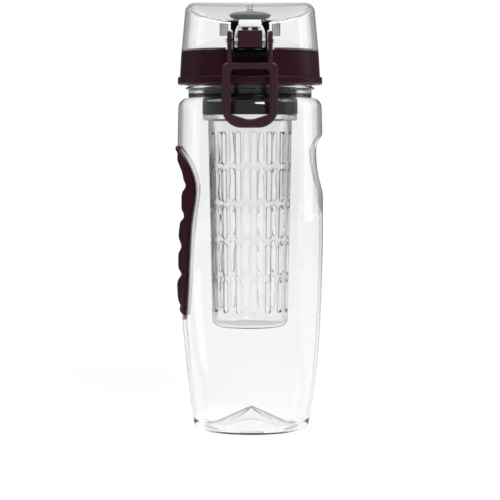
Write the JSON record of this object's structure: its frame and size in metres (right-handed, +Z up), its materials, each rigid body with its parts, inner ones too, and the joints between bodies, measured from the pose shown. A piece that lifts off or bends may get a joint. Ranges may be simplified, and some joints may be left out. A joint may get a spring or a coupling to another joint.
{
  "type": "fruit infuser water bottle",
  "caption": "Clear screw-lid bottle with a soft side grip, a flip-up dome that a carry loop locks, and a slotted infuser basket hanging under the lid.",
  "frame": {"origin": "centre of the flat ring that the bottle stands on, on the bottle's axis", "axes": "+Z up along the bottle's axis, -Y towards the latch and loop, -X towards the side grip, +X towards the thumb pinch"},
  "size_m": [0.0908, 0.0967, 0.259],
  "materials": {
    "clear_plastic": "clear polished plastic",
    "basket_plastic": "clear moulded plastic",
    "grip_rubber": "soft satin rubber, dark burgundy",
    "burgundy_plastic": "satin dark burgundy",
    "button_plastic": "satin dark burgundy",
    "loop_plastic": "satin dark burgundy",
    "black_plastic": "black, smooth",
    "grey_silicone": "grey translucent silicone, matt",
    "pin_steel": "plain steel",
    "spring_steel": "drawn spring wire"
  },
  "bodies": {
    "bottle": {"bottle_body": "clear_plastic", "side_grip": "grip_rubber"},
    "neck_seal": {"neck_gasket": "grey_silicone"},
    "lid": {"lid_band": "burgundy_plastic", "lid_core": "black_plastic", "infuser_skirt": "black_plastic", "drinking_spout": "black_plastic", "vent_valve": "grey_silicone", "hinge_pin": "pin_steel", "hinge_spring": "spring_steel", "latch_pin": "pin_steel"},
    "dome": {"dome_lid": "clear_plastic", "spout_seal": "grey_silicone"},
    "button": {"latch_button": "button_plastic", "button_spring": "spring_steel"},
    "loop": {"lock_loop": "loop_plastic"},
    "infuser_seal": {"infuser_seal": "grey_silicone"},
    "infuser": {"infuser_ring": "black_plastic", "infuser_basket": "basket_plastic"}
  },
  "joints": [
    {"name": "lid_rise", "type": "slide", "parent": "bottle", "child": "neck_seal", "axis": [0, 0, 1], "range_m": [0, 0.00601]},
    {"name": "lid_unscrew", "type": "hinge", "parent": "neck_seal", "child": "lid", "pos_m": [0, 0, 0.2165], "axis": [0, 0, 1], "range_deg": [0, 450]},
    {"name": "dome_flip", "type": "hinge", "parent": "lid", "child": "dome", "pos_m": [0, 0.045, 0.2306], "axis": [-1, 0, 0], "range_deg": [0, 120]},
    {"name": "button_press", "type": "hinge", "parent": "lid", "child": "button", "pos_m": [0, -0.0463, 0.2345], "axis": [1, 0, 0], "range_deg": [0, 12], "stiffness_Nm_per_rad": 0.002, "springref_deg": -20.05},
    {"name": "loop_swing", "type": "hinge", "parent": "lid", "child": "loop", "pos_m": [0, -0.0463, 0.2345], "axis": [-1, 0, 0], "range_deg": [0, 180]},
    {"name": "infuser_drop", "type": "slide", "parent": "lid", "child": "infuser_seal", "axis": [0, 0, -1], "range_m": [0, 0.00401]},
    {"name": "infuser_unscrew", "type": "hinge", "parent": "infuser_seal", "child": "infuser", "pos_m": [0, 0, 0.2035], "axis": [0, 0, -1], "range_deg": [0, 360]}
  ],
  "couplings": [
    {"joint": "lid_rise", "follows": "lid_unscrew", "m_per_rad": 0.00076394},
    {"joint": "infuser_drop", "follows": "infuser_unscrew", "m_per_rad": 0.00063662}
  ]
}
